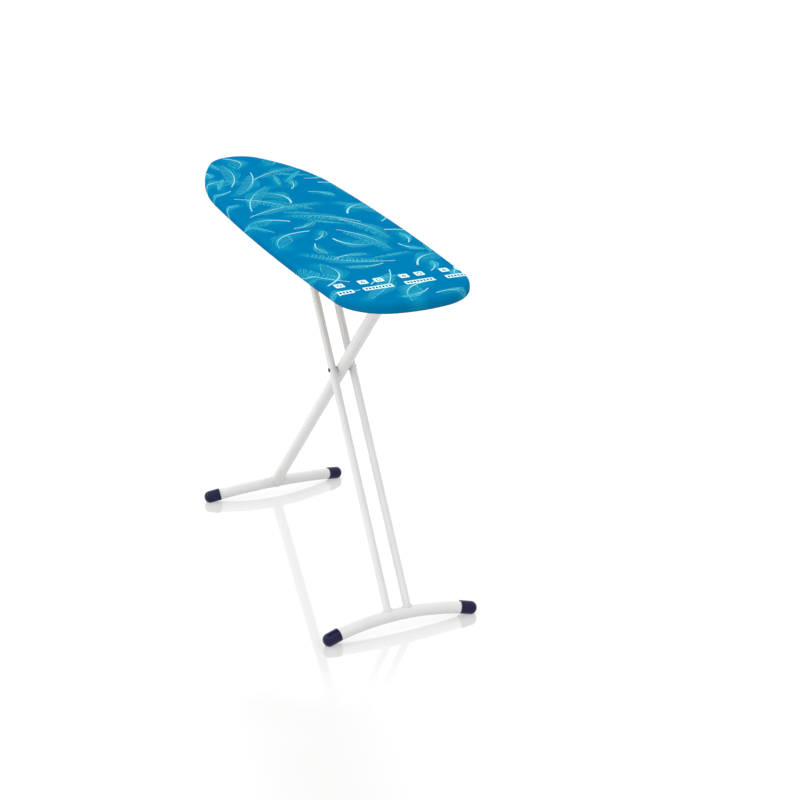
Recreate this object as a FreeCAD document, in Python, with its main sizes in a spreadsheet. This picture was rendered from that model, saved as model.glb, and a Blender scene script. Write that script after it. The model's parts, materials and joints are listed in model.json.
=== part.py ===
"""Folding ironing board: a padded board on a scissor frame of steel tubes.

Frame: X runs from the round nose (-X) to the wide end (+X), Y across, Z up from the floor.
The origin is on the floor under the middle of the board, and the board stands at full height.
The single leg hinges under the wide end and reaches back to the foot below the nose.
The twin leg straddles it, and its top slides along two rails under the board.
"""
import FreeCAD, Part
import math
import os

import Sketcher
from FreeCAD import Placement, Rotation, Vector

SIZES = {
    # board
    "board_length": 1335, "board_width": 368, "surface_height": 950,
    "nose_radius": 88.5, "nose_turn": 60, "shoulder_radius": 730, "shoulder_turn": 87,
    "corner_radius": 133, "corner_centre_x": 530.5,
    "cover_thickness": 2, "cover_edge_radius": 5, "hem_width": 42, "layer_gap": 0.2,
    "pad_thickness": 9.8, "pad_edge_radius": 5, "core_thickness": 15, "core_edge_radius": 6,
    "elastic_width": 5, "elastic_height": 3,
    # scissor frame
    "hinge_x": 458, "slider_x": -28, "hinge_height": 900, "pivot_x": 169, "pivot_height": 592,
    "foot_tip_height": 12.5, "foot_span": 433, "foot_rise": 29.3,
    "thick_tube": 32, "thin_tube": 20, "tube_wall": 1.2, "twin_spacing": 56,
    "thin_tube_overrun": 8.5, "top_tube": 25, "top_tube_length": 118,
    # foot caps
    "cap_diameter": 35.5, "cap_length": 47, "cap_nose": 16.5, "cap_rim_rounding": 0.8,
    "cap_solid_end": 21,
    # pins and bushes
    "running_gap": 0.05, "hinge_pin": 10, "pivot_pin": 8, "slide_pin": 10, "lever_pin": 6,
    "bush_flange": 3, "bush_depth": 16, "pivot_bush": 14, "spacer_diameter": 15,
    "spacer_depth": 7.5, "side_gap": 0.3, "hinge_head": 17, "hinge_head_height": 5,
    "rivet_head": 11, "rivet_head_height": 1, "set_head": 8, "set_head_height": 0.6,
    "rivet_rounding": 0.5, "nut_height": 7,
    "thread_overrun": 2, "slide_pin_length": 118,
    # brackets under the board
    "bracket_sheet": 2.5, "bracket_inside": 125, "bracket_length": 70, "bracket_flange": 28,
    "bracket_drop": 38, "bracket_corner": 14, "screw_margin": 11, "screw_hole": 4.5,
    "screw_shank": 4, "screw_depth": 11, "screw_head": 9, "screw_head_height": 2.4,
    # guide rails and racks
    "rail_start": -397, "rail_end": -5, "rail_inside": 84, "rail_outside": 124,
    "rail_sheet": 1.5, "rail_drop": 37, "rail_flange": 18, "rail_screw_margin": 24,
    "rail_screw_count": 4, "stop_length": 8.7, "stop_height": 28, "stop_gap": 0.5,
    "rack_offset": 54, "rack_width": 7, "rack_base": 2, "tooth_height": 3, "tooth_length": 5,
    "tooth_pitch": 28, "tooth_count": 11, "rack_start": -386, "first_tooth": -89,
    # slider and release lever, measured from the slide pin
    "glider_back": -45, "glider_front": 14, "glider_bottom": -6.8, "glider_top": 12.5,
    "glider_inside": 42.5, "glider_outside": 60, "bridge_back": -36, "bridge_front": -17,
    "bridge_bottom": 6, "bridge_sheet": 3, "bridge_half_width": 56, "lug_offset": 36,
    "lug_sheet": 2.5, "lug_width": 10, "lever_pivot_x": -22, "lever_pivot_z": -4, "lever_arm": 32,
    "lever_pin_overrun": 4, "lever_sheet": 3, "lever_offset": 32, "lever_height": 9,
    "lever_tie_width": 12, "lever_tie_sheet": 2, "latch_bar": 6, "latch_bar_length": 116,
    "handle_x": -40, "handle_drop": -26, "handle_rod": 8, "handle_reach": 150,
    "grip_diameter": 17, "grip_length": 56, "grip_rounding": 3, "spring_wire": 1.3,
    "spring_radius": 4.2, "spring_pitch": 1.9, "spring_length": 11, "spring_offset": 16,
}

UP = Vector(0, 0, 1)
TURN_X = Vector(1, 0, 0)
TURN_Y = Vector(0, 1, 0)
LEFT_RIGHT = (("left", 1), ("right", -1))

doc = FreeCAD.newDocument("ironing_board")
sheet = doc.addObject("Spreadsheet::Sheet", "dims")
for row, (alias, number) in enumerate(SIZES.items(), start=1):
    sheet.set(f"A{row}", alias)
    sheet.set(f"B{row}", str(number))
    sheet.setAlias(f"B{row}", alias)
doc.recompute()

nodes = {}


# ---------------------------------------------------------------- expressions
def cells(expression):
    """Write {name} for the sheet's cell of that name."""
    return expression.format(**{alias: f"dims.{alias}" for alias in SIZES})


def value(expression):
    """The number that an expression has now, in millimetres or degrees."""
    result = sheet.evalExpression(cells(str(expression)))
    return float(getattr(result, "Value", result))


def bind(thing, property_name, expression):
    thing.setExpression(property_name, cells(str(expression)))


def place(thing, x="0", y="0", z="0", axis=UP, angle="0"):
    """Bind a placement to the sheet: a turn about one axis, then a shift."""
    thing.Placement = Placement(Vector(value(x), value(y), value(z)), Rotation(axis, value(angle)))
    for coordinate, expression in (("x", x), ("y", y), ("z", z)):
        bind(thing, f".Placement.Base.{coordinate}", expression)
    if angle != "0":
        bind(thing, ".Placement.Rotation.Angle", angle)


def keep(thing, label):
    """Name a finished sub-part, which is then exported as its own node."""
    thing.Label = label
    nodes[label] = thing
    return thing


# ---------------------------------------------------------------- sketch helpers
def new_body(name):
    return doc.addObject("PartDesign::Body", name)


def new_sketch(body, role, lift="0"):
    """A sketch on one of the body's own origin planes, lifted off it by an expression."""
    sketch = body.newObject("Sketcher::SketchObject", f"{body.Name}_sketch")
    plane = next(item for item in body.Origin.OriginFeatures if item.Role == role)
    sketch.AttachmentSupport = [(plane, "")]
    sketch.MapMode = "FlatFace"
    if lift != "0":
        bind(sketch, ".AttachmentOffset.Base.z", lift)
    return sketch


def fix_point(sketch, geometry, vertex, x, y):
    """Hold one point of a sketch at bound coordinates."""
    for kind, expression in (("DistanceX", x), ("DistanceY", y)):
        index = sketch.addConstraint(
            Sketcher.Constraint(kind, -1, 1, geometry, vertex, value(expression)))
        bind(sketch, f"Constraints[{index}]", expression)


def add_circle(sketch, diameter, x="0", y="0"):
    centre = Vector(value(x), value(y), 0)
    circle = sketch.addGeometry(Part.Circle(centre, UP, value(diameter) / 2), False)
    index = sketch.addConstraint(Sketcher.Constraint("Diameter", circle, value(diameter)))
    bind(sketch, f"Constraints[{index}]", diameter)
    fix_point(sketch, circle, 3, x, y)


def add_polygon(sketch, corners):
    """A closed polygon through corners given as pairs of expressions."""
    points = [Vector(value(x), value(y), 0) for x, y in corners]
    lines = []
    for index, start in enumerate(points):
        end = points[(index + 1) % len(points)]
        lines.append(sketch.addGeometry(Part.LineSegment(start, end), False))
    for index, line in enumerate(lines):
        following = lines[(index + 1) % len(lines)]
        sketch.addConstraint(Sketcher.Constraint("Coincident", line, 2, following, 1))
        fix_point(sketch, line, 1, *corners[index])


def add_rectangle(sketch, x0, x1, y0, y1):
    add_polygon(sketch, [(x0, y0), (x1, y0), (x1, y1), (x0, y1)])


def sweep_sketch(body, kind, sketch, length=None, both_ways=False, reverse=False):
    """Pad or pocket a sketch; no length means through everything."""
    feature = body.newObject(f"PartDesign::{kind}", f"{body.Name}_{kind.lower()}")
    feature.Profile = sketch
    feature.SideType = "Symmetric" if both_ways else "One side"
    feature.Reversed = reverse
    if length is None:
        feature.Type = "ThroughAll"
    else:
        bind(feature, "Length", length)
    return feature


def pad(body, sketch, length, **options):
    return sweep_sketch(body, "Pad", sketch, length, **options)


def pocket(body, sketch, length=None, **options):
    """Cut a sketch out of the body and make sure that it removed something."""
    doc.recompute()
    before = body.Shape.Volume
    feature = sweep_sketch(body, "Pocket", sketch, length, **options)
    doc.recompute()
    if body.Shape.Volume >= before:
        raise RuntimeError(f"{body.Name}: a pocket cuts nothing")
    return feature


def cross_hole(body, diameter, x="0", z="0"):
    """Drill through the whole body along Y."""
    sketch = new_sketch(body, "XZ_Plane")
    add_circle(sketch, diameter, x, z)
    pocket(body, sketch, both_ways=True)


def round_edges(body, radius, wanted):
    """Fillet the edges whose middle point passes the test."""
    doc.recompute()
    base = body.Tip
    edges = []
    for number, edge in enumerate(base.Shape.Edges, start=1):
        middle = edge.valueAt((edge.FirstParameter + edge.LastParameter) / 2)
        if wanted(middle):
            edges.append(f"Edge{number}")
    fillet = body.newObject("PartDesign::Fillet", f"{body.Name}_fillet")
    fillet.Base = (base, edges)
    bind(fillet, "Radius", radius)


def near(number, expression):
    return abs(number - value(expression)) < 0.01


def cut(base, tool, name):
    result = doc.addObject("Part::Cut", name)
    result.Base = base
    result.Tool = tool
    return result


def fuse(pieces, name):
    result = doc.addObject("Part::MultiFuse", name)
    result.Shapes = pieces
    return result


def rod(name, diameter, length, x="0", y_start="0", z="0"):
    """A round rod along +Y that starts at y_start."""
    cylinder = doc.addObject("Part::Cylinder", name)
    bind(cylinder, "Radius", f"({diameter}) / 2")
    bind(cylinder, "Height", length)
    place(cylinder, x, f"({y_start}) + ({length})", z, TURN_X, "90")
    return cylinder


def block(name, x0, x1, y0, y1, z0, z1):
    box = doc.addObject("Part::Box", name)
    for property_name, low, high in (("Length", x0, x1), ("Width", y0, y1), ("Height", z0, z1)):
        bind(box, property_name, f"({high}) - ({low})")
    place(box, x0, y0, z0)
    return box


def tube_along_y(name, diameter, bore, length):
    """A round disc or, with a bore, a tube about the Y axis, centred on the origin."""
    body = new_body(name)
    sketch = new_sketch(body, "XZ_Plane")
    add_circle(sketch, diameter)
    if bore:
        add_circle(sketch, bore)
    pad(body, sketch, length, both_ways=True)
    return body


# ---------------------------------------------------------------- board outline
def normal(turn):
    """The outward normal on the left side, after turning by so many degrees from the nose."""
    return Vector(-math.cos(math.radians(turn)), math.sin(math.radians(turn)), 0)


def outline_arcs(inset):
    """The board's outline as eight tangent arcs, anticlockwise from the nose.

    The nose, shoulder, flank and corner arcs run down each side, and a shallow arc closes the
    wide end. Every arc keeps its centre when the outline is inset. Each is (x, y, radius,
    start, end), with the angles of its outward normal in degrees.
    """
    length = value("{board_length}")
    half_width = value("{board_width} / 2")
    nose, shoulder, corner = (value(f"{{{part}_radius}}") for part in ("nose", "shoulder", "corner"))
    nose_turn, shoulder_turn = (value(f"{{{part}_turn}}") for part in ("nose", "shoulder"))
    nose_centre = Vector(nose - length / 2, 0, 0)
    shoulder_centre = nose_centre + normal(nose_turn) * (nose - shoulder)
    lean = math.sin(math.radians(shoulder_turn))
    flank = (half_width - shoulder_centre.y - shoulder * lean) / (1 - lean)
    flank_centre = shoulder_centre + normal(shoulder_turn) * (shoulder - flank)
    run = value("{corner_centre_x}") - flank_centre.x
    flank_turn = math.degrees(math.acos(-run / (flank - corner)))
    corner_centre = flank_centre + normal(flank_turn) * (flank - corner)
    reach = length / 2 - corner
    end_x = (reach ** 2 - corner_centre.x ** 2 - corner_centre.y ** 2) / (2 * (reach - corner_centre.x))
    end_turn = 180 - math.degrees(math.atan2(corner_centre.y, corner_centre.x - end_x))
    marks = [nose_turn, shoulder_turn, flank_turn, end_turn]
    side = [(shoulder_centre, shoulder), (flank_centre, flank), (corner_centre, corner)]
    arcs = [(nose_centre.x, 0, nose, 180 - marks[0], 180 + marks[0])]
    for index, (centre, radius) in enumerate(side):
        arcs.append((centre.x, -centre.y, radius, 180 + marks[index], 180 + marks[index + 1]))
    arcs.append((end_x, 0, length / 2 - end_x, 180 + end_turn, 540 - end_turn))
    for index, (centre, radius) in reversed(list(enumerate(side))):
        arcs.append((centre.x, centre.y, radius, 180 - marks[index + 1], 180 - marks[index]))
    return [(x, y, radius - inset, start, end) for x, y, radius, start, end in arcs]


def add_outline(sketch, inset="0"):
    """Draw the board's outline as tangent arcs, held by their radii and four centres."""
    bound_radius = {0: "{nose_radius}", 1: "{shoulder_radius}", 3: "{corner_radius}",
                    5: "{corner_radius}", 7: "{shoulder_radius}"}
    shapes = outline_arcs(value(inset))
    arcs = []
    for x, y, radius, start, end in shapes:
        circle = Part.Circle(Vector(x, y, 0), UP, radius)
        arc = Part.ArcOfCircle(circle, math.radians(start), math.radians(end))
        arcs.append(sketch.addGeometry(arc, False))
    for arc, following in zip(arcs, arcs[1:] + arcs[:1]):
        sketch.addConstraint(Sketcher.Constraint("Tangent", arc, 2, following, 1))
    for arc, shape in zip(arcs, shapes):
        index = sketch.addConstraint(Sketcher.Constraint("Radius", arc, shape[2]))
        if arc in bound_radius:
            bind(sketch, f"Constraints[{index}]", f"{bound_radius[arc]} - ({inset})")
    nose, end_arc = 0, 4
    fix_point(sketch, nose, 3, "{nose_radius} - {board_length} / 2", "0")
    fix_point(sketch, end_arc, 3, f"{shapes[end_arc][0]:.9f}", "0")
    for arc in (1, 3, 5, 7):
        sketch.addConstraint(Sketcher.Constraint("DistanceX", -1, 1, arc, 3, shapes[arc][0]))


def outline_slab(name, inset, bottom, thickness):
    """A flat slab of the board's outline."""
    body = new_body(name)
    sketch = new_sketch(body, "XY_Plane", bottom)
    add_outline(sketch, inset)
    pad(body, sketch, thickness)
    return body


# ---------------------------------------------------------------- board layers
CORE_INSET = "{cover_thickness} + {layer_gap}"
PAD_TOP = "{surface_height} - {cover_thickness} - {layer_gap}"
PAD_BOTTOM = f"{PAD_TOP} - {{pad_thickness}}"
CORE_BOTTOM = f"{PAD_BOTTOM} - {{core_thickness}}"
HEM_BOTTOM = f"{CORE_BOTTOM} - {{cover_thickness}}"


def make_core():
    body = outline_slab("core", CORE_INSET, CORE_BOTTOM, "{core_thickness}")
    round_edges(body, "{core_edge_radius}", lambda middle: near(middle.z, CORE_BOTTOM))
    keep(body, "board_core")


def make_pad():
    body = outline_slab("padding", CORE_INSET, PAD_BOTTOM, "{pad_thickness}")
    round_edges(body, "{pad_edge_radius}", lambda middle: near(middle.z, PAD_TOP))
    keep(body, "foam_pad")


def make_cover():
    """A skin over the top and round the side, with a hem turned in under the core."""
    body = outline_slab("fabric", "0", HEM_BOTTOM, f"{{surface_height}} - ({HEM_BOTTOM})")
    round_edges(body, "{cover_edge_radius}", lambda middle: near(middle.z, "{surface_height}"))
    inside = new_sketch(body, "XY_Plane", CORE_BOTTOM)
    add_outline(inside, "{cover_thickness}")
    pocket(body, inside, f"{{surface_height}} - {{cover_thickness}} - ({CORE_BOTTOM})", reverse=True)
    mouth = new_sketch(body, "XY_Plane", HEM_BOTTOM)
    add_outline(mouth, "{hem_width}")
    pocket(body, mouth, "{cover_thickness}", reverse=True)
    keep(body, "cover")


def make_hem_elastic():
    """The elastic band along the hem's free edge."""
    bottom = f"{CORE_BOTTOM} - {{elastic_height}}"
    body = outline_slab("elastic", "{hem_width} + {layer_gap}", bottom, "{elastic_height}")
    inside = new_sketch(body, "XY_Plane", bottom)
    add_outline(inside, "{hem_width} + {layer_gap} + {elastic_width}")
    pocket(body, inside, "{elastic_height}", reverse=True)
    keep(body, "hem_elastic")


# ---------------------------------------------------------------- legs
class Leg:
    """One leg's own frame: origin at its top pin, Z along the leg and the foot at -length."""

    def __init__(self, name, top_x, axis):
        self.name = name
        self.top_x = top_x
        self.axis = axis
        run = f"({top_x} - {{pivot_x}})"
        if value(run) < 0:
            run = f"(-{run})"
        self.lean = f"atan({run} / ({{hinge_height}} - {{pivot_height}}))"
        self.pivot = f"(({{hinge_height}} - {{pivot_height}}) / cos({self.lean}))"
        self.length = f"(({{hinge_height}} - {{foot_tip_height}}) / cos({self.lean}))"

    def stand(self, thing):
        """Place a thing that was drawn in the leg's frame."""
        place(thing, self.top_x, "0", "{hinge_height}", self.axis, self.lean)
        return thing


SINGLE = Leg("single_leg", "{hinge_x}", TURN_Y)
TWIN = Leg("twin_leg", "{slider_x}", TURN_Y * -1)
FOOT_TIP = "({foot_span} / 2)"
FOOT_RADIUS = f"(({FOOT_TIP} ^ 2 + {{foot_rise}} ^ 2) / (2 * {{foot_rise}}))"
FOOT_TURN = f"asin({FOOT_TIP} / {FOOT_RADIUS})"
BAR_TURN = f"({FOOT_TURN} - {{cap_solid_end}} / {FOOT_RADIUS} * 1 rad)"


def arched_bar(leg, name, hollow):
    """The foot bar, a circular arch in the leg's plane, with its middle raised."""
    body = new_body(name)
    middle = f"({{foot_rise}} - {leg.length})"
    sketch = new_sketch(body, "XZ_Plane")
    add_circle(sketch, "{thick_tube}", "0", middle)
    if hollow:
        add_circle(sketch, "{thick_tube} - 2 * {tube_wall}", "0", middle)
    low = value(f"{middle} - {FOOT_RADIUS}")
    reach = value("{thick_tube}")
    axis = sketch.addGeometry(Part.LineSegment(Vector(-reach, low, 0), Vector(reach, low, 0)), True)
    fix_point(sketch, axis, 1, "-{thick_tube}", f"{middle} - {FOOT_RADIUS}")
    fix_point(sketch, axis, 2, "{thick_tube}", f"{middle} - {FOOT_RADIUS}")
    turn = body.newObject("PartDesign::Revolution", f"{name}_turn")
    turn.Profile = sketch
    turn.ReferenceAxis = (sketch, ["Axis0"])
    turn.Midplane = True
    bind(turn, "Angle", f"2 * {BAR_TURN}")
    return body


def foot_cap(leg, side, sign, bar, floor):
    """A plastic cap with a round dome and a small flat sole where it meets the floor."""
    name = f"{leg.name}_foot_cap_{side}"
    body = new_body(f"{name}_blank")
    profile = new_sketch(body, "XY_Plane")
    add_circle(profile, "{cap_diameter}")
    pad(body, profile, "{cap_length}", reverse=True)
    round_edges(body, "{cap_nose}", lambda middle: near(middle.z, "0"))
    round_edges(body, "{cap_rim_rounding}", lambda middle: near(middle.z, "-{cap_length}"))
    tilt = f"90 + {FOOT_TURN} * 1 / 1 deg"
    place(body, "0", f"{sign} * {FOOT_TIP}", f"-{leg.length}", TURN_X * -sign, tilt)
    socketed = leg.stand(cut(body, bar, f"{name}_socketed"))
    keep(cut(socketed, floor, name), name)


def make_foot(leg, floor):
    solid_bar = arched_bar(leg, f"{leg.name}_bar_solid", False)
    keep(leg.stand(arched_bar(leg, f"{leg.name}_bar", True)), f"{leg.name}_foot_bar")
    for side, sign in LEFT_RIGHT:
        foot_cap(leg, side, sign, solid_bar, floor)
    return solid_bar


def leg_tube(leg, name, diameter, overrun, hole, top_hole):
    """A straight tube down the leg, drilled for the top pin and the scissor pivot."""
    body = new_body(name)
    sketch = new_sketch(body, "XY_Plane", overrun)
    add_circle(sketch, diameter)
    add_circle(sketch, f"{diameter} - 2 * {{tube_wall}}")
    pad(body, sketch, f"{leg.length} - {{foot_rise}} + {overrun}", reverse=True)
    cross_hole(body, top_hole)
    cross_hole(body, hole, "0", f"-{leg.pivot}")
    return body


def make_single_leg(floor):
    bar = make_foot(SINGLE, floor)
    blank = leg_tube(SINGLE, "single_blank", "{thick_tube}", "0", "{pivot_bush}", "{top_tube}")
    keep(SINGLE.stand(cut(blank, bar, "single_tube")), "single_leg_tube")
    top = tube_along_y("top_cross", "{top_tube}", "{top_tube} - 2 * {tube_wall}", "{top_tube_length}")
    place(top, "{hinge_x}", "0", "{hinge_height}")
    keep(top, "single_leg_top_tube")
    bush = tube_along_y("pivot_sleeve", "{pivot_bush}", "{pivot_pin} + 2 * {running_gap}", "{thick_tube}")
    place(bush, "{pivot_x}", "0", "{pivot_height}")
    keep(bush, "pivot_bush")
    for side, sign in LEFT_RIGHT:
        make_hinge_bush(side, sign)


def make_hinge_bush(side, sign):
    """A flanged plastic bush in each end of the top tube."""
    bore = "{hinge_pin} + 2 * {running_gap}"
    sleeve = tube_along_y(f"bush_sleeve_{side}", "{top_tube} - 2 * {tube_wall}", bore, "{bush_depth}")
    middle = f"({{top_tube_length}} - {{bush_depth}}) / 2"
    place(sleeve, "{hinge_x}", f"{sign} * {middle}", "{hinge_height}")
    flange = tube_along_y(f"bush_flange_{side}", "{top_tube}", bore, "{bush_flange}")
    outer = "({top_tube_length} + {bush_flange}) / 2"
    place(flange, "{hinge_x}", f"{sign} * {outer}", "{hinge_height}")
    keep(fuse([sleeve, flange], f"hinge_bush_{side}_shape"), f"hinge_bush_{side}")


def make_twin_leg(floor):
    bar = make_foot(TWIN, floor)
    for side, sign in LEFT_RIGHT:
        offset = f"{sign} * {{twin_spacing}} / 2"
        blank = leg_tube(TWIN, f"twin_blank_{side}", "{thin_tube}", "{thin_tube_overrun}",
                         "{pivot_pin}", "{slide_pin}")
        place(blank, "0", offset)
        keep(TWIN.stand(cut(blank, bar, f"twin_tube_{side}")), f"twin_leg_tube_{side}")
        make_pivot_spacer(side, sign, offset)
    keep(rod("slide_rod", "{slide_pin}", "{slide_pin_length}", "{slider_x}",
             "-{slide_pin_length} / 2", "{hinge_height}"), "slide_axle")


def make_pivot_spacer(side, sign, offset):
    """A saddle washer between the thick and the thin tube at the scissor pivot."""
    inner = "({thick_tube} / 2 + {side_gap})"
    disc = tube_along_y(f"spacer_disc_{side}", "{spacer_diameter}", "{pivot_pin}", "{spacer_depth}")
    place(disc, "0", f"{sign} * ({inner} + {{spacer_depth}} / 2)", f"-{TWIN.pivot}")
    seat = doc.addObject("Part::Cylinder", f"spacer_seat_{side}")
    bind(seat, "Radius", "{thin_tube} / 2")
    bind(seat, "Height", "2 * {spacer_diameter}")
    place(seat, "0", offset, f"-{TWIN.pivot} - {{spacer_diameter}}")
    keep(TWIN.stand(cut(disc, seat, f"spacer_{side}")), f"pivot_spacer_{side}")


# ---------------------------------------------------------------- bolts and nuts
def hexagon(name, across, height, x, y, z, bore=None):
    """A hexagon head or nut about the Y axis, from y towards +Y."""
    body = new_body(name)
    sketch = new_sketch(body, "XZ_Plane")
    corners = []
    for corner in range(6):
        reach = f"({across}) / sqrt(3)"
        corners.append((f"{reach} * cos({60 * corner} deg)", f"{reach} * sin({60 * corner} deg)"))
    add_polygon(sketch, corners)
    if bore:
        add_circle(sketch, bore)
    pad(body, sketch, height, reverse=True)
    place(body, x, y, z)
    return body


def make_pivot_rivet():
    """The rivet through all three tubes that the legs turn on, with its head on the right side."""
    edge = "({twin_spacing} + {thin_tube}) / 2"
    pieces = [rod("rivet_shank", "{pivot_pin}", f"2 * {edge}", "{pivot_x}", f"-{edge}", "{pivot_height}")]
    for sign, kind in ((-1, "rivet_head"), (1, "set_head")):
        height = f"{{{kind}_height}}"
        head = tube_along_y(f"{kind}_disc", f"{{{kind}}}", None, height)
        place(head, "{pivot_x}", f"{sign} * ({edge} + {height} / 2)", "{pivot_height}")
        outer = f"{sign} * {height} / 2"
        round_edges(head, "{rivet_rounding}", lambda middle, outer=outer: near(middle.y, outer))
        pieces.append(head)
    keep(fuse(pieces, "pivot_rivet_shape"), "pivot_rivet")


def make_hinge_bolt():
    """The bolt that carries the single leg between the two hinge brackets."""
    ear = "({bracket_inside} / 2 + {bracket_sheet})"
    shank = rod("hinge_shank", "{hinge_pin}", f"2 * {ear} + {{nut_height}} + {{thread_overrun}}",
                "{hinge_x}", f"-{ear}", "{hinge_height}")
    head = hexagon("hinge_hexagon", "{hinge_head}", "{hinge_head_height}", "{hinge_x}",
                   f"-{ear} - {{hinge_head_height}}", "{hinge_height}")
    keep(fuse([shank, head], "hinge_bolt_shape"), "hinge_bolt")
    keep(hexagon("hinge_nut_shape", "{hinge_head}", "{nut_height}", "{hinge_x}", ear,
                 "{hinge_height}", "{hinge_pin}"), "hinge_nut")


# ---------------------------------------------------------------- fittings under the board
BRACKET_SCREW_X = "({bracket_length} / 2 - {screw_margin})"
BRACKET_SCREW_Y = "(({bracket_inside} + {bracket_sheet} + {bracket_flange}) / 2)"
RAIL_SCREW_Y = "({rail_outside} / 2 + {rail_flange} / 2)"
RAIL_LENGTH = "({rail_end} - {rail_start})"
RAIL_SCREW_PITCH = f"(({RAIL_LENGTH} - 2 * {{rail_screw_margin}}) / ({{rail_screw_count}} - 1))"
RAIL_SCREWS = [f"({{rail_screw_margin}} + {index} * {RAIL_SCREW_PITCH})"
               for index in range(SIZES["rail_screw_count"])]


def make_hinge_bracket(side, sign):
    """An angle of sheet steel: an ear with the hinge hole and a flange screwed to the board."""
    body = new_body(f"bracket_{side}")
    inner = "{bracket_inside} / 2"
    outer = f"{inner} + {{bracket_sheet}}"
    lip = f"{inner} + {{bracket_flange}}"
    profile = [(inner, "0"), (inner, "-{bracket_drop}"), (outer, "-{bracket_drop}"),
               (outer, "-{bracket_sheet}"), (lip, "-{bracket_sheet}"), (lip, "0")]
    sketch = new_sketch(body, "YZ_Plane")
    add_polygon(sketch, [(f"{sign} * ({across})", drop) for across, drop in profile])
    pad(body, sketch, "{bracket_length}", both_ways=True)
    round_edges(body, "{bracket_corner}", lambda middle: near(middle.z, "-{bracket_drop}")
                and near(abs(middle.x), "{bracket_length} / 2"))
    cross_hole(body, "{hinge_pin}", "0", f"{{hinge_height}} - ({CORE_BOTTOM})")
    holes = new_sketch(body, "XY_Plane")
    for end in (-1, 1):
        add_circle(holes, "{screw_hole}", f"{end} * {BRACKET_SCREW_X}", f"{sign} * {BRACKET_SCREW_Y}")
    pocket(body, holes, both_ways=True)
    place(body, "{hinge_x}", "0", CORE_BOTTOM)
    keep(body, f"hinge_bracket_{side}")


def make_guide_rail(side, sign):
    """A folded rail: a flange under the board, a web, and a lip that carries the rack."""
    body = new_body(f"rail_{side}")
    web = "{rail_outside} / 2"
    inner = f"{web} - {{rail_sheet}}"
    floor = "-{rail_drop}"
    profile = [(f"{web} + {{rail_flange}}", "0"), (inner, "0"), (inner, f"{floor} + {{rail_sheet}}"),
               ("{rail_inside} / 2", f"{floor} + {{rail_sheet}}"), ("{rail_inside} / 2", floor),
               (web, floor), (web, "-{rail_sheet}"), (f"{web} + {{rail_flange}}", "-{rail_sheet}")]
    sketch = new_sketch(body, "YZ_Plane")
    add_polygon(sketch, [(f"{sign} * ({across})", drop) for across, drop in profile])
    pad(body, sketch, RAIL_LENGTH)
    holes = new_sketch(body, "XY_Plane")
    for along in RAIL_SCREWS:
        add_circle(holes, "{screw_hole}", along, f"{sign} * {RAIL_SCREW_Y}")
    pocket(body, holes, both_ways=True)
    place(body, "{rail_start}", "0", CORE_BOTTOM)
    keep(body, f"guide_rail_{side}")


def make_height_rack(side, sign):
    """A toothed strip along the rail's lip; each gap between teeth is one working height."""
    body = new_body(f"rack_{side}")
    strip = new_sketch(body, "XZ_Plane")
    add_rectangle(strip, "{rack_start}", "{first_tooth} + {tooth_length}", "0", "{rack_base}")
    pad(body, strip, "{rack_width}", both_ways=True)
    tooth = new_sketch(body, "XZ_Plane")
    add_rectangle(tooth, "{first_tooth} - {tooth_length} / 2", "{first_tooth} + {tooth_length} / 2",
                  "{rack_base} / 2", "{rack_base} + {tooth_height}")
    first = pad(body, tooth, "{rack_width}", both_ways=True)
    row_of_teeth = body.newObject("PartDesign::LinearPattern", f"rack_teeth_{side}")
    row_of_teeth.Originals = [first]
    row_of_teeth.Direction = (tooth, ["H_Axis"])
    row_of_teeth.Reversed = True
    bind(row_of_teeth, "Length", "{tooth_pitch} * ({tooth_count} - 1)")
    bind(row_of_teeth, "Occurrences", "{tooth_count}")
    body.Tip = row_of_teeth
    place(body, "0", f"{sign} * {{rack_offset}}", f"{CORE_BOTTOM} - {{rail_drop}} + {{rail_sheet}}")
    keep(body, f"height_rack_{side}")


def make_rail_stops(side, sign):
    """Plastic blocks that close the rail's ends and stop the slider."""
    inner = "({rail_inside} / 2 + {stop_gap})"
    outer = "({rail_outside} / 2 - {rail_sheet})"
    low, high = (inner, outer) if sign > 0 else (f"-{outer}", f"-{inner}")
    floor = f"{CORE_BOTTOM} - {{rail_drop}} + {{rail_sheet}}"
    for end, start in (("front", "{rail_end} - {stop_length}"), ("rear", "{rail_start}")):
        stop = block(f"stop_{end}_{side}", start, f"{start} + {{stop_length}}", low, high,
                     floor, f"{floor} + {{stop_height}}")
        keep(stop, f"rail_stop_{end}_{side}")


def make_screws(label, places, under):
    """Pan-headed wood screws driven up into the core, one solid each."""
    pieces = []
    for index, (x, y) in enumerate(places):
        head = doc.addObject("Part::Cylinder", f"{label}_head_{index}")
        bind(head, "Radius", "{screw_head} / 2")
        bind(head, "Height", "{screw_head_height}")
        place(head, x, y, f"{under} - {{screw_head_height}}")
        shank = doc.addObject("Part::Cylinder", f"{label}_shank_{index}")
        bind(shank, "Radius", "{screw_shank} / 2")
        bind(shank, "Height", "{screw_depth}")
        place(shank, x, y, under)
        pieces += [head, shank]
    keep(fuse(pieces, f"{label}_shape"), label)


def make_fittings():
    for side, sign in LEFT_RIGHT:
        make_hinge_bracket(side, sign)
        make_guide_rail(side, sign)
        make_height_rack(side, sign)
        make_rail_stops(side, sign)
    make_screws("bracket_screws",
                [(f"{{hinge_x}} + {end} * {BRACKET_SCREW_X}", f"{sign} * {BRACKET_SCREW_Y}")
                 for end in (-1, 1) for sign in (-1, 1)], f"{CORE_BOTTOM} - {{bracket_sheet}}")
    make_screws("rail_screws",
                [(f"{{rail_start}} + {along}", f"{sign} * {RAIL_SCREW_Y}")
                 for along in RAIL_SCREWS for sign in (-1, 1)], f"{CORE_BOTTOM} - {{rail_sheet}}")


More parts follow.
